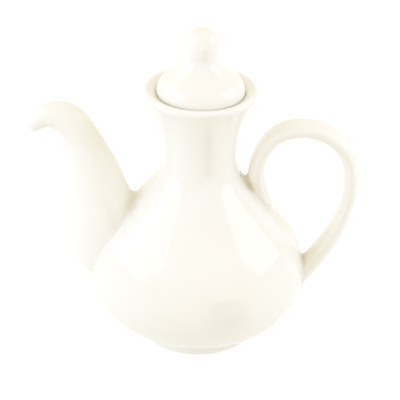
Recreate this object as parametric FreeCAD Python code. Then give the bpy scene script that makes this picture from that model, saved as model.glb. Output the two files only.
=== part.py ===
import FreeCAD, Part
import math
import os

# Porcelain teapot. Millimetres, +Z up, the table at Z = 0, the pot's axis on Z, the spout towards -X.

# Foot and belly
foot_radius = 25.0          # outside of the foot ring
foot_height = 5.4           # where the belly springs from the ring
foot_ring_width = 3.2       # of the ring that stands on the table
foot_edge_round = 0.9       # of the ring's edges on the table
belly_radius = 48.9         # at its widest line
belly_height = 33.7         # of the widest line above the table
wall = 3.2                  # of the body, from floor to rim
base_thickness = 4.0        # of the floor over the hollow inside the foot ring

# Shoulder, neck and flared rim
shoulder_round = 32.8       # round that leads up from the widest line
neck_rise = 56.5            # from the widest line to the waist of the neck
neck_round = 17.4           # hollow round that leads into the waist
neck_round_limit = 0.97     # share of the room for that round which it may fill
waist_radius = 17.0
rim_rise = 34.3             # from the waist to the top of the lip
rim_radius = 26.4           # outside of the lip
lip_round = 1.75

# Lid, and its seat in the rim
seat_depth = 5.0            # of the seat below the top of the lip
lid_radius = 20.2           # at the bulge of the dome
lid_bulge_rise = 3.1        # of the bulge above the seat
lid_foot_inset = 1.0        # of the edge that stands on the seat, inside the bulge
lid_edge_gap = 1.2          # round that edge
seat_width = 1.6            # of the seat under that edge
skirt_clearance = 0.6       # between the lid's skirt and the neck
skirt_depth = 6.5           # of the skirt below the seat, down to its round end
lid_wall = 2.6
lid_dome_round = 9.9        # of the dome, from the bulge upwards
lid_dome_turn = 54.7        # degrees that this round turns through
lid_rise = 19.8             # from the seat to the knob's foot
vent_radius = 1.5           # steam hole at the back of the dome
vent_place = 13.0           # out from the axis

# Knob
knob_foot_radius = 7.0
knob_radius = 8.2
knob_rise = 6.5             # from its foot to its widest line

# Spout. Each station: out beyond the belly's widest line, up from it, half thickness, half width.
spout_root = (-18.6, 5.6, 19.7, 12.8)
spout_heel = (-10.6, 13.0, 19.8, 14.1)
spout_flank = (-5.9, 23.6, 17.0, 13.9)
spout_shank = (-3.1, 38.4, 13.6, 12.4)
spout_stem = (-0.2, 51.6, 10.9, 10.5)
spout_throat = (5.0, 65.6, 8.2, 8.4)
spout_crest = (14.3, 75.6, 7.2, 7.3)
spout_beak = (22.0, 75.3, 5.2, 5.8)
spout_tip = (28.1, 70.7, 3.7, 4.9)
spout_wall = 2.6            # at the root
spout_lip = 1.2             # wall at the tip
spout_lip_round = 1.0       # outer edge of the tip
channel_overrun = 2.0       # of the channel's cut past the tip
spout_squareness_ratio = 2.0     # 2 is an oval section, more is squarer

# Pouring hole in the wall behind the spout
pour_hole_height = 17.0     # of its middle above the belly's widest line
pour_hole_radius = 6.0

# Handle. Each station: out from the axis, up from the belly's widest line, half thickness, half width.
handle_root_top = (33.0, 20.3, 4.0, 4.6)
handle_root_bend = (28.9, 34.8, 4.4, 4.8)
handle_upright = (26.0, 47.3, 3.95, 5.1)
handle_shoulder = (28.4, 59.3, 3.5, 5.6)
handle_rise = (36.0, 68.7, 3.6, 6.0)
handle_crown = (45.5, 71.6, 3.7, 6.1)
handle_turn = (58.0, 68.9, 3.7, 6.1)
handle_back_top = (67.0, 59.6, 3.6, 6.0)
handle_back = (69.8, 47.3, 3.5, 5.9)
handle_back_low = (67.0, 29.6, 3.3, 5.8)
handle_low = (57.6, 10.7, 3.9, 6.0)
handle_root_low = (42.6, -8.3, 4.3, 6.6)
handle_squareness_ratio = 2.6
section_points = 16         # round each section of the spout and the handle

# Heights that follow
waist_height = belly_height + neck_rise
rim_height = waist_height + rim_rise
seat_height = rim_height - seat_depth
lid_foot_radius = lid_radius - lid_foot_inset
bore_radius = lid_foot_radius - seat_width
lid_top_height = seat_height + lid_rise

ORIGIN = FreeCAD.Vector(0, 0, 0)
Z_AXIS = FreeCAD.Vector(0, 0, 1)


def point(r, z):
    return FreeCAD.Vector(r, 0, z)


def on_circle(centre, radius, degrees):
    turn = math.radians(degrees)
    return centre + point(radius * math.cos(turn), radius * math.sin(turn))


def angle_of(v):
    return math.degrees(math.atan2(v.z, v.x))


class Outline:
    """A closed outline of lines and arcs in the plane of the axis, spun into a solid."""

    def __init__(self, start):
        self.first = start
        self.last = start
        self.edges = []

    def line(self, end):
        self.edges.append(Part.LineSegment(self.last, end).toShape())
        self.last = end

    def arc(self, centre, radius, from_degrees, to_degrees):
        middle = on_circle(centre, radius, (from_degrees + to_degrees) / 2)
        end = on_circle(centre, radius, to_degrees)
        self.edges.append(Part.Arc(self.last, middle, end).toShape())
        self.last = end

    def spun(self):
        self.line(self.first)
        return Part.Face(Part.Wire(self.edges)).revolve(ORIGIN, Z_AXIS, 360)


class Profile:
    """Centres, radii and angles of the body's outside, from the foot ring to the lip."""

    def __init__(self):
        across, up = belly_radius - foot_radius, belly_height - foot_height
        self.belly_round = (across**2 + up**2) / (2 * across)
        self.belly = point(belly_radius - self.belly_round, belly_height)
        self.belly_from = angle_of(point(foot_radius, foot_height) - self.belly)

        self.shoulder = point(belly_radius - shoulder_round, belly_height)
        step = belly_radius - waist_radius
        room = (step**2 + neck_rise**2) / (2 * step) - shoulder_round
        self.neck_round = min(neck_round, neck_round_limit * room)
        self.neck = point(waist_radius + self.neck_round, waist_height)
        apart = self.neck - self.shoulder
        reach = math.degrees(math.acos((shoulder_round + self.neck_round) / apart.Length))
        self.shoulder_to = angle_of(apart) - reach

        self.lip = point(rim_radius - lip_round, rim_height - lip_round)
        back, rise = self.lip.x - waist_radius, self.lip.z - waist_height
        self.flare_round = (back**2 + rise**2 - lip_round**2) / (2 * (lip_round + back))
        self.flare = point(waist_radius + self.flare_round, waist_height)
        self.flare_to = angle_of(self.lip - self.flare)

    def outside(self, outline):
        """From the top of the foot ring up to where the flare meets the lip."""
        outline.arc(self.belly, self.belly_round, self.belly_from, 0)
        outline.arc(self.shoulder, shoulder_round, 0, self.shoulder_to)
        outline.line(on_circle(self.neck, self.neck_round, 180 + self.shoulder_to))
        outline.arc(self.neck, self.neck_round, 180 + self.shoulder_to, 180)
        outline.arc(self.flare, self.flare_round, 180, self.flare_to)

    def inside(self, outline):
        """Down from the bore under the seat to the floor, one wall inside the outside."""
        hollow = self.flare_round + wall
        bore_from = 180 - math.degrees(math.acos((self.flare.x - bore_radius) / hollow))
        outline.line(on_circle(self.flare, hollow, bore_from))
        outline.arc(self.flare, hollow, bore_from, 180)
        outline.arc(self.neck, self.neck_round + wall, 180, 180 + self.shoulder_to)
        outline.line(on_circle(self.shoulder, shoulder_round - wall, self.shoulder_to))
        outline.arc(self.shoulder, shoulder_round - wall, self.shoulder_to, 0)
        outline.arc(self.belly, self.belly_round - wall, 0, -90)


def foot_outside(outline):
    """Rounded lower edge and side of the foot ring."""
    outline.line(point(foot_radius - foot_edge_round, 0))
    outline.arc(point(foot_radius - foot_edge_round, foot_edge_round), foot_edge_round, -90, 0)
    outline.line(point(foot_radius, foot_height))


def body_mass(profile):
    """The body with no hollow in it: what the spout and the handle are fitted against."""
    outline = Outline(point(0, 0))
    foot_outside(outline)
    profile.outside(outline)
    outline.arc(profile.lip, lip_round, profile.flare_to - 180, 90)
    outline.line(point(0, rim_height))
    return outline.spun()


def pour_hole(profile):
    """Round hole through the wall behind the spout, square to the wall."""
    lean = math.asin(pour_hole_height / shoulder_round)
    outward = FreeCAD.Vector(-math.cos(lean), 0, math.sin(lean))
    reach = 2 * wall
    start = FreeCAD.Vector(-profile.shoulder.x, 0, belly_height) + outward * (shoulder_round - reach)
    return Part.makeCylinder(pour_hole_radius, 2 * reach, start, outward)


def make_body(profile):
    floor_height = belly_height - (profile.belly_round - wall)
    hollow_height = floor_height - base_thickness
    ring_inside = foot_radius - foot_ring_width
    outline = Outline(point(ring_inside, foot_edge_round))
    outline.arc(point(ring_inside + foot_edge_round, foot_edge_round), foot_edge_round, 180, 270)
    foot_outside(outline)
    profile.outside(outline)
    seat_edge = point(lid_foot_radius + lid_edge_gap, seat_height)
    to_lip = profile.lip - seat_edge
    slope = angle_of(to_lip) + math.degrees(math.asin(lip_round / to_lip.Length))
    outline.arc(profile.lip, lip_round, profile.flare_to - 180, 90 + slope)
    outline.line(seat_edge)
    outline.line(point(bore_radius, seat_height))
    profile.inside(outline)
    outline.line(point(0, floor_height))
    outline.line(point(0, hollow_height))
    outline.line(point(ring_inside, hollow_height))
    return outline.spun().cut(pour_hole(profile))


def section(centre, along, half_thickness, half_width, squareness):
    """A closed oval round centre, square to along. Its thickness lies in the plane of the axis."""
    inward = FreeCAD.Vector(0, 1, 0).cross(along).normalize()
    sideways = FreeCAD.Vector(0, 1, 0)
    power = 2 / squareness
    points = []
    for k in range(section_points):
        turn = 2 * math.pi * k / section_points
        c, s = math.cos(turn), math.sin(turn)
        thick = half_thickness * math.copysign(abs(c) ** power, c)
        wide = half_width * math.copysign(abs(s) ** power, s)
        points.append(centre + inward * thick + sideways * wide)
    curve = Part.BSplineCurve()
    curve.interpolate(Points=points, PeriodicFlag=True)
    return Part.Wire(curve.toShape())


def swept(stations, squareness):
    """A smooth solid through stations of (place, half thickness, half width)."""
    line = Part.BSplineCurve()
    line.interpolate([place for place, thick, wide in stations])
    wires = []
    for place, thick, wide in stations:
        along = line.tangent(line.parameter(place))[0]
        wires.append(section(place, along, thick, wide, squareness))
    return Part.makeLoft(wires, True, False)


def make_spout(mass):
    rows = [spout_root, spout_heel, spout_flank, spout_shank, spout_stem]
    rows += [spout_throat, spout_crest, spout_beak, spout_tip]
    outer, channel = [], []
    for k, (out, up, thick, wide) in enumerate(rows):
        place = point(-belly_radius - out, belly_height + up)
        thinned = spout_wall + (spout_lip - spout_wall) * k / (len(rows) - 1)
        outer.append((place, thick, wide))
        channel.append((place, thick - thinned, wide - thinned))
    place, thick, wide = channel[-1]
    past_tip = (place - channel[-2][0]).normalize() * channel_overrun
    channel.append((place + past_tip, thick, wide))
    tip = outer[-1][0]
    horn = swept(outer, spout_squareness_ratio).cut(mass).cut(swept(channel, spout_squareness_ratio))
    rims = sorted(horn.Edges, key=lambda edge: edge.CenterOfMass.distanceToPoint(tip))[:2]
    return horn.makeFillet(spout_lip_round, [max(rims, key=lambda edge: edge.Length)])


def make_handle(mass):
    rows = [handle_root_top, handle_root_bend, handle_upright, handle_shoulder]
    rows += [handle_rise, handle_crown, handle_turn, handle_back_top]
    rows += [handle_back, handle_back_low, handle_low, handle_root_low]
    stations = [(point(out, belly_height + up), thick, wide) for out, up, thick, wide in rows]
    return swept(stations, handle_squareness_ratio).cut(mass)


def make_lid():
    """Dome and skirt, hollow from below, with the steam hole at the back."""
    bulge_height = seat_height + lid_bulge_rise
    dome = point(lid_radius - lid_dome_round, bulge_height)
    dome_end = on_circle(dome, lid_dome_round, lid_dome_turn)
    knob_foot = point(knob_foot_radius, lid_top_height)
    outward = (dome_end - dome).normalize()
    step = knob_foot - dome_end
    slope_round = step.dot(step) / (2 * step.dot(outward))
    slope = dome_end + outward * slope_round
    slope_from = 180 + lid_dome_turn
    slope_to = angle_of(knob_foot - slope) % 360

    skirt_radius = bore_radius - skirt_clearance
    skirt_inside = skirt_radius - lid_wall
    skirt_height = seat_height - skirt_depth
    inner_top = lid_top_height - lid_wall

    skirt_end = point((skirt_inside + skirt_radius) / 2, skirt_height + lid_wall / 2)
    outline = Outline(point(skirt_inside, skirt_end.z))
    outline.arc(skirt_end, lid_wall / 2, 180, 360)
    outline.line(point(skirt_radius, seat_height))
    outline.line(point(lid_foot_radius, seat_height))
    outline.line(point(lid_radius, bulge_height))
    outline.arc(dome, lid_dome_round, 0, lid_dome_turn)
    outline.arc(slope, slope_round, slope_from, slope_to)
    outline.line(point(0, lid_top_height))
    outline.line(point(0, inner_top))
    outline.line(point(knob_foot_radius - lid_wall, inner_top))
    inner_round = slope_round + lid_wall
    outline.line(on_circle(slope, inner_round, slope_to))
    outline.arc(slope, inner_round, slope_to, slope_from)
    outline.arc(dome, lid_dome_round - lid_wall, lid_dome_turn, 0)
    outline.line(point(skirt_inside, seat_height))
    solid = outline.spun()
    vent = Part.makeCylinder(vent_radius, lid_rise, FreeCAD.Vector(0, vent_place, seat_height))
    return solid.cut(vent)


def make_knob():
    """A ball on a short waist that grows out of the top of the dome."""
    ball = point(0, lid_top_height + knob_rise)
    outline = Outline(point(0, lid_top_height))
    outline.line(point(knob_foot_radius, lid_top_height))
    outline.line(point(knob_radius, ball.z))
    outline.arc(ball, knob_radius, 0, 90)
    return outline.spun()


def main():
    profile = Profile()
    mass = body_mass(profile)
    pieces = {
        "body": make_body(profile),
        "spout": make_spout(mass),
        "handle": make_handle(mass),
        "lid": make_lid(),
        "lid_knob": make_knob(),
    }
    os.makedirs("parts", exist_ok=True)
    for name, shape in pieces.items():
        shape.exportStep(os.path.join("parts", name + ".step"))
        print(name, shape.isValid(), len(shape.Solids), round(shape.Volume), shape.BoundBox)


main()
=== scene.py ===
import math

import bmesh
import bpy
import numpy as np
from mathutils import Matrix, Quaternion, Vector


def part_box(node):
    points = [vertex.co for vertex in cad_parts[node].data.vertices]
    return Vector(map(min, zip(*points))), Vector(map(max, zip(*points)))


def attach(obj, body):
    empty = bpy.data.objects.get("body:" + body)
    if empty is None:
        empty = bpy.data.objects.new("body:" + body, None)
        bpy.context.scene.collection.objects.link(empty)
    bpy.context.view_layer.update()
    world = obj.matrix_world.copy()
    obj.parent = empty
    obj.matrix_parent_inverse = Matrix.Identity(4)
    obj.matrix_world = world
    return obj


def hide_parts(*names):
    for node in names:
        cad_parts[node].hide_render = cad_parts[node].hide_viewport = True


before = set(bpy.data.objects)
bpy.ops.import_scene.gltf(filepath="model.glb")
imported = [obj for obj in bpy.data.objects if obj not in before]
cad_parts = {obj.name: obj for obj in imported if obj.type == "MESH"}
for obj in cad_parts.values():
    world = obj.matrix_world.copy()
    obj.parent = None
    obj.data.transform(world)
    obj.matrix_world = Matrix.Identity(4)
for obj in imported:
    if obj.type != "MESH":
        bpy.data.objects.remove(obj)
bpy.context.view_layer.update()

# Body: the pot itself, slip-cast porcelain with a pear-shaped belly, a waisted neck and a flared rim.
# It was dipped in ivory glaze and fired standing on its foot ring, whose edge and the lid's seat were
# wiped bare first. A pouring hole was cut through the wall behind the spout while the clay was soft.
mm = 0.001
_, body_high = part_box("body")
belly_radius = body_high.y
rim_height = body_high.z
belly_height = 33.7 * mm
foot_radius = 25.0 * mm
foot_height = 5.4 * mm
foot_ring_inside = 21.8 * mm
foot_edge_round = 0.9 * mm
foot_glaze_fill = 1.7 * mm
foot_wiped_height = 0.8 * foot_edge_round
wall = 3.2 * mm
floor_height = 8.2 * mm
under_height = 4.2 * mm
shoulder_round = 32.8 * mm
waist_radius = 17.0 * mm
waist_height = 90.2 * mm
neck_round = 17.4 * mm
rim_radius = 26.4 * mm
lip_round = 1.75 * mm
seat_depth = 5.0 * mm
seat_height = rim_height - seat_depth
seat_outside = 20.4 * mm
seat_wiped_within = 0.05 * mm
brim_overhang = 0.15 * mm
brim_rise = 3.0 * mm
brim_ease = 0.1 * mm
bore_radius = 17.6 * mm
corner_ease = 0.7 * mm
pour_hole_rise = 17.0 * mm
pour_hole_radius = 6.0 * mm
outline_spacing = 1.1 * mm
same_place = 0.001 * mm
round_the_pot = 192


def arc(centre, radius, start, end, fewest=4):
    """Points along an arc in the plane of the pot's axis, between two angles in degrees."""
    count = max(fewest, math.ceil(abs(math.radians(end - start)) * radius / outline_spacing))
    turn = np.radians(np.linspace(start, end, count + 1))
    return np.stack([centre[0] + radius * np.cos(turn), centre[1] + radius * np.sin(turn)], 1)


def bend(before, corner, after, part):
    """A soft curve from one point to another, drawn towards the corner between them."""
    return (1 - part) ** 2 * before + 2 * part * (1 - part) * corner + part**2 * after


def eased(before, corner, after, steps=6):
    """Points of the soft curve that glaze makes of a corner."""
    before, corner, after = (np.asarray(p, float) for p in (before, corner, after))
    return bend(before, corner, after, np.linspace(0, 1, steps + 1)[:, None])


def towards(start, end, step):
    """The point one step from start on the way to end."""
    start, end = np.asarray(start, float), np.asarray(end, float)
    return start + (end - start) * (step / np.linalg.norm(end - start))


def corner_at(before, corner, after, ease):
    """A corner between two straight runs, eased over the given length of each."""
    return eased(towards(corner, before, ease), corner, towards(corner, after, ease))


def along(start, end):
    """Points along a straight run, spaced as the arcs are."""
    start, end = np.asarray(start, float), np.asarray(end, float)
    count = max(1, math.ceil(np.linalg.norm(end - start) / outline_spacing))
    return start + (end - start) * np.linspace(0, 1, count + 1)[:, None]


def joined(runs):
    """One outline from its runs, without the points that two runs share."""
    points = np.concatenate(runs)
    apart = np.linalg.norm(np.diff(points, axis=0), axis=1) > same_place
    return points[np.concatenate([[True], apart])]


def angle(start, end):
    """Direction from one point to another, in degrees."""
    return math.degrees(math.atan2(end[1] - start[1], end[0] - start[0]))


belly_round = ((belly_radius - foot_radius) ** 2 + (belly_height - foot_height) ** 2) / (
    2 * (belly_radius - foot_radius)
)
belly = (belly_radius - belly_round, belly_height)
belly_from = angle(belly, (foot_radius, foot_height))
shoulder = (belly_radius - shoulder_round, belly_height)
neck = (waist_radius + neck_round, waist_height)
neck_apart = math.dist(shoulder, neck)
shoulder_to = angle(shoulder, neck) - math.degrees(math.acos((shoulder_round + neck_round) / neck_apart))
lip = (rim_radius - lip_round, rim_height - lip_round)
flare_back, flare_rise = lip[0] - waist_radius, lip[1] - waist_height
flare_round = (flare_back**2 + flare_rise**2 - lip_round**2) / (2 * (lip_round + flare_back))
flare = (waist_radius + flare_round, waist_height)
flare_to = angle(flare, lip) % 360
fill_turn = math.degrees(foot_glaze_fill / belly_round)

outside = joined([
    arc(belly, belly_round, belly_from + fill_turn, 0),
    arc(shoulder, shoulder_round, 0, shoulder_to),
    arc(neck, neck_round, 180 + shoulder_to, 180),
    arc(flare, flare_round, 180, flare_to),
])
seat_edge = (seat_outside, seat_height)
seat_brim = (seat_outside - brim_overhang, seat_height + brim_rise)
lip_slope = angle(seat_brim, lip)
lip_touch = lip_slope + math.degrees(math.asin(lip_round / math.dist(seat_brim, lip)))
bore_turn = 180 - math.degrees(math.acos((flare[0] - bore_radius) / (flare_round + wall)))
bore_foot = arc(flare, flare_round + wall, bore_turn, 180)[0]
inside = joined([
    arc(flare, flare_round + wall, bore_turn, 180),
    arc(neck, neck_round + wall, 180, 180 + shoulder_to),
    arc(shoulder, shoulder_round - wall, shoulder_to, 0),
    arc(belly, belly_round - wall, 0, -90),
])
lip_end = arc(lip, lip_round, flare_to - 180, 90 + lip_touch)
foot_outline = joined([
    along((0, under_height), (foot_ring_inside - foot_glaze_fill, under_height)),
    corner_at((0, under_height), (foot_ring_inside, under_height), (foot_ring_inside, 0), foot_glaze_fill),
    arc((foot_ring_inside + foot_edge_round, foot_edge_round), foot_edge_round, 180, 270),
    arc((foot_radius - foot_edge_round, foot_edge_round), foot_edge_round, -90, 0),
    eased((foot_radius, foot_height - foot_glaze_fill), (foot_radius, foot_height), outside[0]),
])
seat_outline = joined([
    along(lip_end[-1], towards(seat_brim, lip_end[-1], brim_ease)),
    corner_at(lip_end[-1], seat_brim, seat_edge, brim_ease),
    corner_at(seat_brim, seat_edge, (bore_radius, seat_height), corner_ease),
    corner_at(seat_edge, (bore_radius, seat_height), bore_foot, corner_ease),
    along(towards((bore_radius, seat_height), bore_foot, corner_ease), bore_foot),
])
floor = along(inside[-1], (0, floor_height))
body_outline = joined([foot_outline, outside, lip_end, seat_outline, inside, floor])


def placed(name, data):
    """A new object in the scene."""
    thing = bpy.data.objects.new(name, data)
    bpy.context.scene.collection.objects.link(thing)
    return thing


def spun(name, outline, segments):
    """A closed skin made by spinning an outline that starts and ends on the axis."""
    turn = np.linspace(0, 2 * math.pi, segments, endpoint=False)
    radius, height = outline[1:-1, 0], outline[1:-1, 1]
    across = np.outer(radius, np.cos(turn))
    deep = np.outer(radius, np.sin(turn))
    up = np.repeat(height[:, None], segments, 1)
    rings = np.stack([across, deep, up], 2)
    points = [(0, 0, outline[0, 1])] + rings.reshape(-1, 3).tolist() + [(0, 0, outline[-1, 1])]
    last = len(points) - 1
    faces = []
    for row in range(len(radius) - 1):
        low, high = 1 + row * segments, 1 + (row + 1) * segments
        for k in range(segments):
            following = (k + 1) % segments
            faces.append((low + k, low + following, high + following, high + k))
    for k in range(segments):
        following = (k + 1) % segments
        faces.append((0, 1 + following, 1 + k))
        faces.append((last, last - segments + k, last - segments + following))
    mesh = bpy.data.meshes.new(name)
    mesh.from_pydata(points, [], faces)
    return placed(name, mesh)


def drill(start, direction, radius, length, sides=40):
    """A round cutter that starts at a place and points in a direction."""
    skin = spun("drill", np.array([(0, 0), (radius, 0), (radius, length), (0, length)]), sides)
    skin.rotation_mode = "QUATERNION"
    skin.rotation_quaternion = Vector(direction).to_track_quat("Z", "Y")
    skin.location = start
    return skin


def pierced(piece, cutter):
    """Cuts a hole in a piece, and removes the cutter."""
    cut = piece.modifiers.new("pierced", "BOOLEAN")
    cut.operation = "DIFFERENCE"
    cut.solver = "EXACT"
    cut.object = cutter
    whole = bpy.data.meshes.new_from_object(piece.evaluated_get(bpy.context.evaluated_depsgraph_get()))
    piece.modifiers.clear()
    piece.data = whole
    bpy.data.objects.remove(cutter)


def shown(piece, material, body):
    """Smooth shading, a finish, and the body that the piece moves with."""
    piece.data.shade_smooth()
    piece.data.materials.clear()
    piece.data.materials.append(material)
    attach(piece, body)


body_skin = spun("porcelain_body", body_outline, round_the_pot)
pour_reach = 2 * wall
pour_lean = math.asin(pour_hole_rise / shoulder_round)
pour_out = Vector((-math.cos(pour_lean), 0, math.sin(pour_lean)))
pour_from = Vector((-shoulder[0], 0, belly_height)) + pour_out * (shoulder_round - pour_reach)
pierced(body_skin, drill(pour_from, pour_out, pour_hole_radius, 2 * pour_reach))

# The depth of the glaze: 0 where it ran thin, 1 where it pooled, and between them as it was dipped.
# The same value also paints light and shade: it is raised for painted shade in crevices and lowered for
# painted light where parts shade each other.
depth_as_dipped = 0.5
thin_glaze_and_painted_light = (0.955, 0.94, 0.895, 1)
glaze_ivory = (0.94, 0.91, 0.84, 1)
pooled_glaze_and_painted_shade = (0.62, 0.56, 0.32, 1)
glaze_speck = (0.80, 0.74, 0.60, 1)
bare_grain_dark = (0.88, 0.86, 0.80, 1)
bare_grain_light = (0.94, 0.92, 0.87, 1)
cloud_shift = (0.31, 0.17, 0.23)


def places_of(piece):
    """The points of a piece, one row each."""
    flat = np.zeros(len(piece.data.vertices) * 3, np.float32)
    piece.data.vertices.foreach_get("co", flat)
    return flat.reshape(-1, 3).astype(float)


def dipped(piece):
    """Gives a piece its even coat of glaze."""
    layer = piece.data.attributes.new("glaze_depth_and_painted_shading", "FLOAT", "POINT")
    layer.data.foreach_set("value", np.full(len(piece.data.vertices), depth_as_dipped, np.float32))


def shift_glaze_and_shade(piece, distance, reach, amount):
    """Adds to the glaze's depth near a place, given each point's distance from it; a rise darkens towards the
    pooled colour and a fall lightens towards the thin colour, for real pooled or thin glaze and for painted
    shade or painted light.
    """
    layer = piece.data.attributes["glaze_depth_and_painted_shading"].data
    values = np.zeros(len(distance), np.float32)
    layer.foreach_get("value", values)
    values += (amount * np.exp(-((distance / reach) ** 2))).astype(np.float32)
    layer.foreach_set("value", np.clip(values, 0, 1))


def from_seam(piece, seam):
    """Distance of each point of a piece from a line of points."""
    points = places_of(piece)
    return np.min([np.linalg.norm(points - place, axis=1) for place in seam], axis=0)


def from_ring(piece, radius, height):
    """Distance of each point of a piece from a ring round the pot's axis."""
    points = places_of(piece)
    return np.hypot(np.hypot(points[:, 0], points[:, 1]) - radius, points[:, 2] - height)


def new_finish(name):
    """A material, its nodes and its links."""
    finish = bpy.data.materials.new(name)
    finish.use_nodes = True
    return finish, finish.node_tree.nodes, finish.node_tree.links


def ivory_glaze(name, seed):
    """Gloss glaze over porcelain: its colour follows the depth value, which also carries painted shade and
    painted light, with faint clouds, specks and waves.
    """
    finish, nodes, links = new_finish(name)
    shader = nodes["Principled BSDF"]
    shader.inputs["IOR"].default_value = 1.55
    shader.inputs["Coat Weight"].default_value = 0.35
    shader.inputs["Coat Roughness"].default_value = 0.03

    depth = nodes.new("ShaderNodeAttribute")
    depth.attribute_name = "glaze_depth_and_painted_shading"
    colour = nodes.new("ShaderNodeValToRGB")
    colour.color_ramp.elements[0].color = thin_glaze_and_painted_light
    colour.color_ramp.elements[1].color = pooled_glaze_and_painted_shade
    even = colour.color_ramp.elements.new(depth_as_dipped)
    even.color = glaze_ivory

    place = nodes.new("ShaderNodeTexCoord")
    shift = nodes.new("ShaderNodeMapping")
    shift.inputs["Location"].default_value = [step * seed for step in cloud_shift]
    links.new(place.outputs["Object"], shift.inputs["Vector"])

    def noise(scale, detail):
        texture = nodes.new("ShaderNodeTexNoise")
        texture.inputs["Scale"].default_value = scale
        texture.inputs["Detail"].default_value = detail
        links.new(shift.outputs["Vector"], texture.inputs["Vector"])
        return texture.outputs["Fac"]

    def ranged(source, low, high, from_low=0.3, from_high=0.7):
        spread = nodes.new("ShaderNodeMapRange")
        spread.inputs["From Min"].default_value = from_low
        spread.inputs["From Max"].default_value = from_high
        spread.inputs["To Min"].default_value = low
        spread.inputs["To Max"].default_value = high
        links.new(source, spread.inputs["Value"])
        return spread.outputs["Result"]

    clouds = ranged(noise(scale=26, detail=3), low=-0.035, high=0.035)
    clouded = nodes.new("ShaderNodeMath")
    clouded.operation = "ADD"
    links.new(depth.outputs["Fac"], clouded.inputs[0])
    links.new(clouds, clouded.inputs[1])
    links.new(clouded.outputs["Value"], colour.inputs["Fac"])

    speckle = ranged(noise(scale=640, detail=1), low=0, high=0.25, from_low=0.78, from_high=0.84)
    specks = nodes.new("ShaderNodeMix")
    specks.data_type = "RGBA"
    specks.inputs["B"].default_value = glaze_speck
    links.new(speckle, specks.inputs["Factor"])
    links.new(colour.outputs["Color"], specks.inputs["A"])
    links.new(specks.outputs["Result"], shader.inputs["Base Color"])
    dulled = ranged(noise(scale=75, detail=4), low=0.085, high=0.15)
    links.new(dulled, shader.inputs["Roughness"])

    waves = nodes.new("ShaderNodeBump")
    waves.inputs["Strength"].default_value = 0.10
    waves.inputs["Distance"].default_value = 0.6 * mm
    links.new(noise(scale=34, detail=2), waves.inputs["Height"])
    peel = nodes.new("ShaderNodeBump")
    peel.inputs["Strength"].default_value = 0.035
    peel.inputs["Distance"].default_value = 0.05 * mm
    links.new(noise(scale=900, detail=2), peel.inputs["Height"])
    links.new(waves.outputs["Normal"], peel.inputs["Normal"])
    links.new(peel.outputs["Normal"], shader.inputs["Normal"])
    return finish


def bare_porcelain(name):
    """Fired clay with its glaze wiped off: white, dry and finely grained."""
    finish, nodes, links = new_finish(name)
    shader = nodes["Principled BSDF"]
    place = nodes.new("ShaderNodeTexCoord")
    grain = nodes.new("ShaderNodeTexNoise")
    grain.inputs["Scale"].default_value = 1400
    grain.inputs["Detail"].default_value = 5
    links.new(place.outputs["Object"], grain.inputs["Vector"])
    tone = nodes.new("ShaderNodeValToRGB")
    tone.color_ramp.elements[0].color = bare_grain_dark
    tone.color_ramp.elements[1].color = bare_grain_light
    links.new(grain.outputs["Fac"], tone.inputs["Fac"])
    links.new(tone.outputs["Color"], shader.inputs["Base Color"])
    dry = nodes.new("ShaderNodeMapRange")
    dry.inputs["To Min"].default_value = 0.5
    dry.inputs["To Max"].default_value = 0.7
    links.new(grain.outputs["Fac"], dry.inputs["Value"])
    links.new(dry.outputs["Result"], shader.inputs["Roughness"])
    rough = nodes.new("ShaderNodeBump")
    rough.inputs["Strength"].default_value = 0.3
    rough.inputs["Distance"].default_value = 0.08 * mm
    links.new(grain.outputs["Fac"], rough.inputs["Height"])
    links.new(rough.outputs["Normal"], shader.inputs["Normal"])
    return finish


dipped(body_skin)
# The lip and the foot are lightened, partly for glaze running thin over edges and partly as painted light
# where the rim and the belly shade them; below the brim the glaze is darkened as painted shade in the gap
# under the lid, partly pooled glaze.
from_lip = from_ring(body_skin, lip[0], lip[1] + lip_round)
from_brim = from_ring(body_skin, seat_brim[0], seat_brim[1])
from_foot = from_ring(body_skin, foot_radius, foot_edge_round)
shift_glaze_and_shade(body_skin, from_lip, reach=2.2 * mm, amount=-0.3)
shift_glaze_and_shade(body_skin, from_brim, reach=2.0 * mm, amount=0.18)
shift_glaze_and_shade(body_skin, from_foot, reach=3.5 * mm, amount=-0.4)
shown(body_skin, ivory_glaze("body_ivory_glaze", 1), "pot")
body_skin.data.materials.append(bare_porcelain("body_bare_porcelain"))
for face in body_skin.data.polygons:
    radius, height = math.hypot(face.center.x, face.center.y), face.center.z
    on_foot = height < foot_wiped_height and radius > foot_ring_inside
    on_seat = abs(height - seat_height) < seat_wiped_within and bore_radius < radius < seat_outside
    face.material_index = 1 if on_foot or on_seat else 0
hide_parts("body")


# Spout: cast apart as a hollow S-curved horn, tapering to a beak with a thin rounded lip.
# It was trimmed to the belly's curve and stuck on with slip, which was wiped to a narrow fillet that
# widens in the saddle between the spout and the shoulder.
spout_wall = 2.6 * mm
spout_lip_wall = 1.2 * mm
spout_slip = 2.0 * mm
saddle_slip = 4.0 * mm
saddle_share = 0.8
slip_bite = 0.04 * mm
probe = 0.05 * mm
slope_probe = 0.2 * mm
least_steepness = 0.4
round_the_spout = 96
spout_outer_rows = 84
spout_inner_rows = 60
spout_lip_rows = 6
# Each station: out from the pot's axis, up from the table, half thickness, half width.
spout_stations = np.array([
    (30.3, 39.3, 19.7, 12.8),
    (38.3, 46.7, 19.8, 14.1),
    (43.0, 57.3, 17.0, 13.9),
    (45.8, 72.1, 13.6, 12.4),
    (48.7, 85.3, 10.9, 10.5),
    (53.9, 99.3, 8.2, 8.4),
    (63.2, 109.3, 7.2, 7.3),
    (70.9, 109.0, 5.2, 5.8),
    (77.0, 104.4, 3.7, 4.9),
]) * mm


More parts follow.
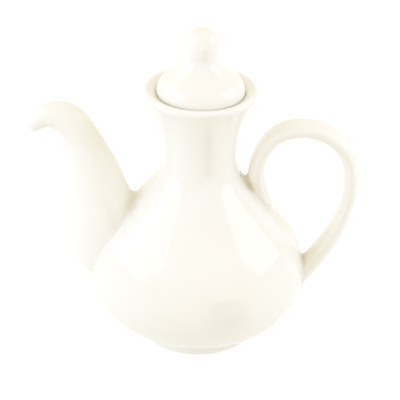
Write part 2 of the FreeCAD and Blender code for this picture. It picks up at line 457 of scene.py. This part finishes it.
class Strand:
    """A smooth line through stations that also carries the section's half thickness and half width."""

    def __init__(self, stations):
        steps = np.linalg.norm(np.diff(stations[:, :2], axis=0), axis=1)
        self.knots = np.concatenate([[0], np.cumsum(steps)])
        self.values = stations
        count = len(stations)
        system, wanted = np.zeros((count, count)), np.zeros_like(stations)
        slopes = np.diff(stations, axis=0) / steps[:, None]
        system[0, :2], wanted[0] = (2, 1), 3 * slopes[0]
        system[-1, -2:], wanted[-1] = (1, 2), 3 * slopes[-1]
        for k in range(1, count - 1):
            system[k, k - 1 : k + 2] = steps[k], 2 * (steps[k - 1] + steps[k]), steps[k - 1]
            wanted[k] = 3 * (steps[k] * slopes[k - 1] + steps[k - 1] * slopes[k])
        self.slopes = np.linalg.solve(system, wanted)
        self.length = self.knots[-1]

    def at(self, place):
        """Values and slopes at places along the line."""
        k = np.clip(np.searchsorted(self.knots, place, side="right") - 1, 0, len(self.knots) - 2)
        span = self.knots[k + 1] - self.knots[k]
        t = ((place - self.knots[k]) / span)[..., None]
        span = span[..., None]
        start, end = self.values[k], self.values[k + 1]
        leave, arrive = self.slopes[k] * span, self.slopes[k + 1] * span
        value = (
            (2 * t**3 - 3 * t**2 + 1) * start
            + (t**3 - 2 * t**2 + t) * leave
            + (3 * t**2 - 2 * t**3) * end
            + (t**3 - t**2) * arrive
        )
        slope = (
            (6 * t**2 - 6 * t) * (start - end)
            + (3 * t**2 - 4 * t + 1) * leave
            + (3 * t**2 - 2 * t) * arrive
        ) / span
        return value, slope

    def skin(self, place, turn, side, squareness=2.0, thinner=0.0):
        """Points of the skin at places along the line and turns round it; side is -1 for a piece on -X."""
        value, slope = self.at(place)
        run = slope[..., :2] / np.linalg.norm(slope[..., :2], axis=-1, keepdims=True)
        across = np.stack([run[..., 1], -run[..., 0]], -1)
        c, s = np.cos(turn), np.sin(turn)
        thick = (value[..., 2] - thinner) * np.sign(c) * np.abs(c) ** (2 / squareness)
        wide = (value[..., 3] - thinner) * np.sign(s) * np.abs(s) ** (2 / squareness)
        out = value[..., 0] + across[..., 0] * thick
        up = value[..., 1] + across[..., 1] * thick
        return np.stack([side * out, wide, up], -1)


def body_radius(height):
    """Radius of the body's outside at a height."""
    return np.interp(height, outside[:, 1], outside[:, 0])


def beyond_body(points):
    """How far points lie outside the body, level with them."""
    return np.hypot(points[..., 0], points[..., 1]) - body_radius(points[..., 2])


def body_normal(points):
    """Directions square to the body's outside, level with points."""
    height = points[..., 2]
    lean = (body_radius(height + slope_probe) - body_radius(height - slope_probe)) / (2 * slope_probe)
    round_it = np.hypot(points[..., 0], points[..., 1])
    normal = np.stack([points[..., 0] / round_it, points[..., 1] / round_it, -lean], -1)
    return normal / np.linalg.norm(normal, axis=-1, keepdims=True)


def meeting(skin, inner, outer, halvings=40):
    """Where a skin leaves the body, between a place inside the body and one outside it."""
    inner, outer = inner.copy(), outer.copy()
    for _ in range(halvings):
        middle = (inner + outer) / 2
        beyond = beyond_body(skin(middle)) > 0
        outer = np.where(beyond, middle, outer)
        inner = np.where(beyond, inner, middle)
    return outer


def unit(vectors):
    """The same directions, one long."""
    return vectors / np.linalg.norm(vectors, axis=-1, keepdims=True)


def slip_fillet(skin, joint, direction, ball, steps=8):
    """Rows from a skin down to the body, over slip wiped to a ball's round, and where they begin."""
    seam = skin(joint)
    run = unit(np.roll(seam, -1, axis=0) - np.roll(seam, 1, axis=0))
    rise = unit(skin(joint + direction * probe) - seam)
    up = rise - (rise * run).sum(1, keepdims=True) * run
    steepness = np.linalg.norm(up, axis=1)
    away = unit(np.cross(run, body_normal(seam)))
    away *= np.sign((away * (seam - seam.mean(0))).sum())
    opening = np.arccos(np.clip((unit(up) * away).sum(1), -1, 1))
    reach = ball / np.tan(opening / 2)
    begin = joint + direction * reach / np.maximum(steepness, least_steepness)
    start = skin(begin)

    edge = np.roll(seam, -1, axis=0) - seam
    part = ((start[:, None] - seam) * edge).sum(2) / (edge * edge).sum(1)
    part = np.clip(part, 0, 1)
    near = np.linalg.norm(start[:, None] - seam - part[..., None] * edge, axis=2).argmin(1)
    part = part[np.arange(len(seam)), near][:, None]

    def beside(values):
        return values[near] * (1 - part) + np.roll(values, -1, axis=0)[near] * part

    corner = beside(seam)
    end = corner + beside(away) * beside(reach[:, None])
    end[:, :2] *= ((body_radius(end[:, 2]) - slip_bite) / np.hypot(end[:, 0], end[:, 1]))[:, None]
    return bend(start, corner, end, np.linspace(0, 1, steps + 1)[:, None, None]), begin


def tube(name, rows, closed):
    """A skin through rows of points; closed joins the last row to the first, or else both ends are capped."""
    count = rows.shape[1]
    points = rows.reshape(-1, 3).tolist()
    faces = []
    pairs = len(rows) if closed else len(rows) - 1
    for row in range(pairs):
        low, high = row * count, (row + 1) % len(rows) * count
        for k in range(count):
            following = (k + 1) % count
            faces.append((low + k, low + following, high + following, high + k))
    if not closed:
        for row, turned in ((0, True), (len(rows) - 1, False)):
            points.append(rows[row].mean(0).tolist())
            for k in range(count):
                edge = (row * count + k, row * count + (k + 1) % count)
                faces.append((edge[1], edge[0], len(points) - 1) if turned else (*edge, len(points) - 1))
    mesh = bpy.data.meshes.new(name)
    mesh.from_pydata(points, [], faces)
    shell = bmesh.new()
    shell.from_mesh(mesh)
    bmesh.ops.recalc_face_normals(shell, faces=shell.faces)
    shell.to_mesh(mesh)
    shell.free()
    return placed(name, mesh)


spout_line = Strand(spout_stations)
spout_clear_of_body = spout_line.length * 0.55
spout_turns = np.linspace(0, 2 * math.pi, round_the_spout, endpoint=False)


def spout_outer(place):
    """A row of the spout's outside."""
    return spout_line.skin(place, spout_turns, -1)


def spout_inner(place):
    """A row of the spout's channel; the wall thins evenly towards the lip."""
    thinner = spout_wall + (spout_lip_wall - spout_wall) * place / spout_line.length
    return spout_line.skin(place, spout_turns, -1, thinner=thinner)


near_root = np.zeros(round_the_spout)
well_out = np.full(round_the_spout, spout_clear_of_body)
spout_joint = meeting(spout_outer, near_root, well_out)
saddle = np.clip(-np.cos(spout_turns), 0, 1) ** 2
spout_ball = spout_slip + (saddle_slip - spout_slip) * saddle
spout_fillet, spout_begin = slip_fillet(spout_outer, spout_joint, 1, spout_ball)
channel_end = meeting(spout_inner, near_root, well_out)
tip = np.full(round_the_spout, spout_line.length)
lip_run = tip - spout_lip_wall
outer_rows = []
for part in np.linspace(0, 1, spout_outer_rows)[1:]:
    outer_rows.append(spout_outer(spout_begin + (lip_run - spout_begin) * part))
inner_rows = []
for part in np.linspace(0, 1, spout_inner_rows):
    inner_rows.append(spout_inner(lip_run + (channel_end - lip_run) * part))
lip_face = (spout_outer(tip) + spout_inner(tip)) / 2
lip_parts = np.linspace(0, 1, spout_lip_rows)[1:, None, None]
lip_outer = bend(outer_rows[-1], spout_outer(tip), lip_face, lip_parts)
lip_inner = bend(lip_face, spout_inner(tip), inner_rows[0], lip_parts)
spout_rows = np.concatenate([spout_fillet[::-1], outer_rows, lip_outer, lip_inner, inner_rows[1:]])
spout_skin = tube("porcelain_spout", spout_rows, closed=True)
dipped(spout_skin)
# Painted shade: the glaze is darkened in the saddle between the spout and the shoulder, partly pooled glaze
# and partly the shade of that crevice.
saddle_seam = spout_outer(spout_joint)[saddle > saddle_share]
for piece in (spout_skin, body_skin):
    shift_glaze_and_shade(piece, from_seam(piece, saddle_seam), reach=3.5 * mm, amount=0.25)
shift_glaze_and_shade(spout_skin, from_seam(spout_skin, lip_face), reach=1.5 * mm, amount=-0.2)
shown(spout_skin, ivory_glaze("spout_ivory_glaze", 2), "pot")
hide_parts("spout")


# Handle: a pulled strap of clay, flat-sided and a little wider than thick, bent into a tall loop.
# Its upper end runs down along the shoulder and its lower end butts on the belly, both set in slip.
handle_slip = 0.6 * mm
upper_notch_slip = 2.0 * mm
lower_notch_slip = 1.2 * mm
notch_share = 0.7
handle_squareness = 2.6
round_the_handle = 96
handle_rows_along = 180
# Each station: out from the pot's axis, up from the table, half thickness, half width.
handle_stations = np.array([
    (33.0, 54.0, 4.0, 4.6),
    (28.9, 68.5, 4.4, 4.8),
    (26.0, 81.0, 3.95, 5.1),
    (28.4, 93.0, 3.5, 5.6),
    (36.0, 102.4, 3.6, 6.0),
    (45.5, 105.3, 3.7, 6.1),
    (58.0, 102.6, 3.7, 6.1),
    (67.0, 93.3, 3.6, 6.0),
    (69.8, 81.0, 3.5, 5.9),
    (67.0, 63.3, 3.3, 5.8),
    (57.6, 44.4, 3.9, 6.0),
    (42.6, 25.4, 4.3, 6.6),
]) * mm
handle_line = Strand(handle_stations)
handle_turns = np.linspace(0, 2 * math.pi, round_the_handle, endpoint=False)


def handle_outer(place):
    """A row of the handle's skin."""
    return handle_line.skin(place, handle_turns, 1, handle_squareness)


half_way = np.full(round_the_handle, handle_line.length / 2)
upper_joint = meeting(handle_outer, np.zeros(round_the_handle), half_way)
lower_joint = meeting(handle_outer, np.full(round_the_handle, handle_line.length), half_way)
towards_neck = np.clip(-np.cos(handle_turns), 0, 1) ** 2
into_loop = np.clip(np.cos(handle_turns), 0, 1) ** 2
upper_ball = handle_slip + (upper_notch_slip - handle_slip) * towards_neck
lower_ball = handle_slip + (lower_notch_slip - handle_slip) * into_loop
upper_fillet, strap_from = slip_fillet(handle_outer, upper_joint, 1, upper_ball)
lower_fillet, strap_to = slip_fillet(handle_outer, lower_joint, -1, lower_ball)
strap_rows = []
for part in np.linspace(0, 1, handle_rows_along)[1:-1]:
    strap_rows.append(handle_outer(strap_from + (strap_to - strap_from) * part))
handle_rows = np.concatenate([upper_fillet[::-1], strap_rows, lower_fillet])
handle_skin = tube("porcelain_handle", handle_rows, closed=False)
dipped(handle_skin)
# Painted shade: the glaze is darkened in the notches at both ends of the handle, partly pooled glaze and
# partly the shade in those crevices.
upper_notch = handle_outer(upper_joint)[towards_neck > notch_share]
lower_notch = handle_outer(lower_joint)[into_loop > notch_share]
for piece in (handle_skin, body_skin):
    shift_glaze_and_shade(piece, from_seam(piece, upper_notch), reach=3.0 * mm, amount=0.45)
    shift_glaze_and_shade(piece, from_seam(piece, lower_notch), reach=2.2 * mm, amount=0.2)
shown(handle_skin, ivory_glaze("handle_ivory_glaze", 3), "pot")
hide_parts("handle")


# Lid: a thrown dome with a skirt that drops into the neck, resting loose on the seat inside the rim.
# It is glazed above, bare on the edge that sits on the seat, and has one steam hole behind the knob.
lid_low, lid_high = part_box("lid")
lid_radius = 20.2 * mm
lid_foot_radius = 19.2 * mm
bulge_rise = 3.1 * mm
bulge_height = seat_height + bulge_rise
dome_round = 9.9 * mm
dome_turn = 54.7
knob_foot_radius = 7.0 * mm
lid_wall = 2.6 * mm
lid_wiped_within = 0.15 * mm
skirt_radius = 17.0 * mm
skirt_inside = skirt_radius - lid_wall
skirt_inner_ease = 1.5 * mm
skirt_outer_ease = 0.4 * mm
steam_hole_radius = 1.5 * mm
steam_hole_back = 13.0 * mm
round_the_lid = 144
dome = (lid_radius - dome_round, bulge_height)
dome_end = arc(dome, dome_round, 0, dome_turn)[-1]
dome_out = (dome_end - dome) / dome_round
knob_foot = np.array((knob_foot_radius, lid_high.z))
slope_step = knob_foot - dome_end
slope_round = slope_step @ slope_step / (2 * slope_step @ dome_out)
slope = dome_end + dome_out * slope_round
slope_to = angle(slope, knob_foot) % 360
inner_slope = arc(slope, slope_round + lid_wall, slope_to, 180 + dome_turn)
inner_dome = arc(dome, dome_round - lid_wall, dome_turn, 0)
inner_top = lid_high.z - lid_wall
skirt_end = (skirt_radius - lid_wall / 2, lid_low.z + lid_wall / 2)
skirt_top = (skirt_radius, seat_height)
lid_foot = (lid_foot_radius, seat_height)
lid_outline = joined([
    along((0, inner_top), (inner_slope[0][0], inner_top)),
    inner_slope,
    inner_dome,
    corner_at(inner_dome[-1], (skirt_inside, seat_height), (skirt_inside, lid_low.z), skirt_inner_ease),
    arc(skirt_end, lid_wall / 2, 180, 360),
    corner_at((skirt_radius, lid_low.z), skirt_top, lid_foot, skirt_outer_ease),
    corner_at(skirt_top, lid_foot, (lid_radius, bulge_height), corner_ease),
    arc(dome, dome_round, 0, dome_turn),
    arc(slope, slope_round, 180 + dome_turn, slope_to),
    along(knob_foot, (0, lid_high.z)),
])
lid_skin = spun("porcelain_lid", lid_outline, round_the_lid)
steam_from = (0, steam_hole_back, seat_height)
pierced(lid_skin, drill(steam_from, (0, 0, 1), steam_hole_radius, lid_high.z - seat_height))
dipped(lid_skin)
# Painted light: the glaze is lightened round the lid's bulge, where the rim shades it.
shift_glaze_and_shade(lid_skin, from_ring(lid_skin, lid_radius, bulge_height), reach=2.0 * mm, amount=-0.25)
shown(lid_skin, ivory_glaze("lid_ivory_glaze", 4), "lid")
lid_skin.data.materials.append(bare_porcelain("lid_bare_porcelain"))
for face in lid_skin.data.polygons:
    radius, height = math.hypot(face.center.x, face.center.y), face.center.z
    on_edge = abs(height - seat_height) < lid_wiped_within and radius > skirt_radius
    face.material_index = 1 if on_edge else 0
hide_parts("lid")


# Knob: a ball of clay on a short waist, stuck to the top of the dome while both were soft.
# The slip round its foot was smoothed into the dome before glazing.
knob_low, knob_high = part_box("lid_knob")
knob_radius = 8.2 * mm
knob_widest = knob_high.z - knob_radius
knob_slip = 2.2 * mm
knob_sink = 0.6 * mm
knob_feather = 1.2 * mm
feather_sink = 0.12 * mm
knob_side_ease = 2.2 * mm
ball_from = 14
round_the_knob = 96
slip_turn = slope_to + math.degrees(knob_slip / slope_round)
knob_base = arc(slope, slope_round, slip_turn, slope_to)[0]
feather = arc(slope, slope_round, slip_turn + math.degrees(knob_feather / slope_round), slip_turn)
feather[:, 1] -= np.linspace(feather_sink, 0, len(feather))
knob_side = (knob_radius, knob_widest)
waist_from = towards(knob_foot, knob_side, knob_slip)
waist_to = towards(knob_side, knob_foot, knob_side_ease)
ball = arc((0, knob_widest), knob_radius, ball_from, 90)
knob_outline = joined([
    along((0, knob_low.z - knob_sink), (feather[0][0], feather[0][1] - knob_sink)),
    feather,
    eased(knob_base, knob_foot, waist_from),
    along(waist_from, waist_to),
    eased(waist_to, knob_side, ball[0]),
    ball,
])
knob_outline[-1, 0] = 0
knob_skin = spun("porcelain_knob", knob_outline, round_the_knob)
dipped(knob_skin)
shown(knob_skin, ivory_glaze("knob_ivory_glaze", 5), "lid")
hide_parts("lid_knob")


# Studio: a glowing pale table, seen as white, in a cream room with softboxes at the left, right and back.
# Two more lamps show only as sheen on the glaze, and a brown sheet on the table shows only in reflections, as
# painted shade.
# The camera looks down on the pot from the front, square to the plane of the spout and the handle.
table_half = 6.0
table_cream = (0.93, 0.915, 0.85, 1)
table_white = (1, 1, 1, 1)
table_diffuse = 0.4
table_glow = 0.55
table_glow_seen = 0.68
table_mesh = bpy.data.meshes.new("table")
corners = [(x * table_half, y * table_half, 0) for x, y in ((-1, -1), (1, -1), (1, 1), (-1, 1))]
table_mesh.from_pydata(corners, [], [(0, 1, 2, 3)])
table = placed("table", table_mesh)


def looked_at(nodes, links):
    """1 for what is seen, also in a reflection or through glass, and 0 for light that falls on the pot."""
    path = nodes.new("ShaderNodeLightPath")
    value = path.outputs["Is Camera Ray"]
    for other in ("Is Glossy Ray", "Is Transmission Ray"):
        either = nodes.new("ShaderNodeMath")
        either.operation = "MAXIMUM"
        links.new(value, either.inputs[0])
        links.new(path.outputs[other], either.inputs[1])
        value = either.outputs["Value"]
    return value


table_finish, nodes, links = new_finish("pale_table")
nodes.remove(nodes["Principled BSDF"])
seen = looked_at(nodes, links)
tint = nodes.new("ShaderNodeMix")
tint.data_type = "RGBA"
tint.inputs["A"].default_value = table_cream
tint.inputs["B"].default_value = table_white
links.new(seen, tint.inputs["Factor"])
shade = nodes.new("ShaderNodeMix")
shade.data_type = "RGBA"
shade.inputs["Factor"].default_value = table_diffuse
shade.inputs["A"].default_value = (0, 0, 0, 1)
links.new(tint.outputs["Result"], shade.inputs["B"])
cloth = nodes.new("ShaderNodeBsdfDiffuse")
links.new(shade.outputs["Result"], cloth.inputs["Color"])
shine = nodes.new("ShaderNodeMapRange")
shine.inputs["To Min"].default_value = table_glow
shine.inputs["To Max"].default_value = table_glow_seen
links.new(seen, shine.inputs["Value"])
glow = nodes.new("ShaderNodeEmission")
links.new(tint.outputs["Result"], glow.inputs["Color"])
links.new(shine.outputs["Result"], glow.inputs["Strength"])
both = nodes.new("ShaderNodeAddShader")
links.new(cloth.outputs["BSDF"], both.inputs[0])
links.new(glow.outputs["Emission"], both.inputs[1])
links.new(both.outputs["Shader"], nodes["Material Output"].inputs["Surface"])
table_mesh.materials.append(table_finish)

# Painted reflection: a brown sheet, seen only in reflections, darkens what the glaze reflects from the front
# right, where the room is dimmer; it lights nothing and casts no shadow.
reflected_shade_brown = (0.28, 0.18, 0.05, 1)
reflected_shade_height = 1 * mm
reflected_shade_from, reflected_shade_to = -4, 54
reflected_shade_across = 13
# Each row: out from the pot's axis in metres, and how much the sheet covers there.
reflected_shade_reach = ((0.045, 0), (0.075, 1), (0.35, 1), (0.6, 0))
reflected_shade_turns = np.radians(np.linspace(reflected_shade_from, reflected_shade_to, reflected_shade_across))
reflected_shade_points = []
for out, _ in reflected_shade_reach:
    for turn in reflected_shade_turns:
        reflected_shade_points.append((out * math.sin(turn), -out * math.cos(turn), reflected_shade_height))
reflected_shade_faces = []
for row in range(len(reflected_shade_reach) - 1):
    for k in range(row * reflected_shade_across, (row + 1) * reflected_shade_across - 1):
        reflected_shade_faces.append((k, k + 1, k + 1 + reflected_shade_across, k + reflected_shade_across))
reflected_shade_mesh = bpy.data.meshes.new("reflected_shade_sheet")
reflected_shade_mesh.from_pydata(reflected_shade_points, [], reflected_shade_faces)
reflected_shade_cover = reflected_shade_mesh.attributes.new("cover", "FLOAT", "POINT")
faded = np.sin(np.linspace(0, math.pi, reflected_shade_across)) ** 2
cover = np.concatenate([share * faded for _, share in reflected_shade_reach])
reflected_shade_cover.data.foreach_set("value", cover.astype(np.float32))
reflected_shade_sheet = placed("reflected_shade_sheet", reflected_shade_mesh)
reflected_shade_finish, nodes, links = new_finish("brown_reflected_shade")
shader = nodes["Principled BSDF"]
shader.inputs["Base Color"].default_value = reflected_shade_brown
shader.inputs["Roughness"].default_value = 0.9
sheet_cover = nodes.new("ShaderNodeAttribute")
sheet_cover.attribute_name = "cover"
links.new(sheet_cover.outputs["Fac"], shader.inputs["Alpha"])
reflected_shade_mesh.materials.append(reflected_shade_finish)
reflected_shade_sheet.visible_camera = False
reflected_shade_sheet.visible_diffuse = False
reflected_shade_sheet.visible_shadow = False

room_cream = (0.912, 0.835, 0.685, 1)
room_white = (1, 1, 1, 1)
world = bpy.data.worlds.new("cream_room")
world.use_nodes = True
bpy.context.scene.world = world
nodes, links = world.node_tree.nodes, world.node_tree.links
walls = nodes.new("ShaderNodeMix")
walls.data_type = "RGBA"
walls.inputs["A"].default_value = room_cream
walls.inputs["B"].default_value = room_white
links.new(looked_at(nodes, links), walls.inputs["Factor"])
links.new(walls.outputs["Result"], nodes["Background"].inputs["Color"])

daylight = (0.40, 0.60, 1.0)
back_light = (0.8, 0.95, 1.0)
sheen_light = (0.7, 0.85, 1.0)
lamp_aim = Vector((0, 0, 60 * mm))


def softbox(name, colour, azimuth, elevation, distance, wide, tall, radiance):
    """A rectangular lamp that faces the pot; azimuth 0 stands on the camera's side."""
    a, e = math.radians(azimuth), math.radians(elevation)
    away = Vector((math.sin(a) * math.cos(e), -math.cos(a) * math.cos(e), math.sin(e)))
    lamp = bpy.data.lights.new(name, "AREA")
    lamp.shape = "RECTANGLE"
    lamp.size = wide
    lamp.size_y = tall
    lamp.energy = radiance * math.pi * wide * tall
    lamp.color = colour
    stand = placed(name, lamp)
    stand.location = lamp_aim + away * distance
    stand.rotation_mode = "QUATERNION"
    stand.rotation_quaternion = (-away).to_track_quat("-Z", "Y")
    stand.visible_camera = False
    return stand


left = softbox(
    "left_softbox", daylight, azimuth=-68, elevation=19, distance=1.2, wide=1.0, tall=0.7, radiance=3.05
)
right = softbox(
    "right_softbox", daylight, azimuth=76, elevation=26, distance=1.2, wide=0.8, tall=0.7, radiance=3.0
)
back = softbox(
    "back_softbox", back_light, azimuth=180, elevation=38, distance=1.5, wide=2.6, tall=0.8, radiance=0.38
)
for lamp in (left, right, back):
    lamp.visible_glossy = False
left_sheen = softbox(
    "left_sheen", sheen_light, azimuth=-88, elevation=31, distance=1.0, wide=1.15, tall=0.72, radiance=1.0
)
right_sheen = softbox(
    "right_sheen", sheen_light, azimuth=90, elevation=30, distance=1.0, wide=0.72, tall=0.60, radiance=0.95
)
for lamp in (left_sheen, right_sheen):
    lamp.visible_diffuse = False

camera_aim = Vector((0.52 * mm, 0, 67.8 * mm))
camera_roll = math.radians(1.0056)
camera_data = bpy.data.cameras.new("camera")
camera_data.lens = 270
camera_data.sensor_width = 36
camera = placed("camera", camera_data)
camera.location = (0, -1.2296, 0.6955)
look = (camera_aim - camera.location).to_track_quat("-Z", "Y")
camera.rotation_mode = "QUATERNION"
camera.rotation_quaternion = look @ Quaternion((0, 0, 1), camera_roll)
bpy.context.scene.camera = camera
bpy.context.scene.view_settings.view_transform = "Standard"
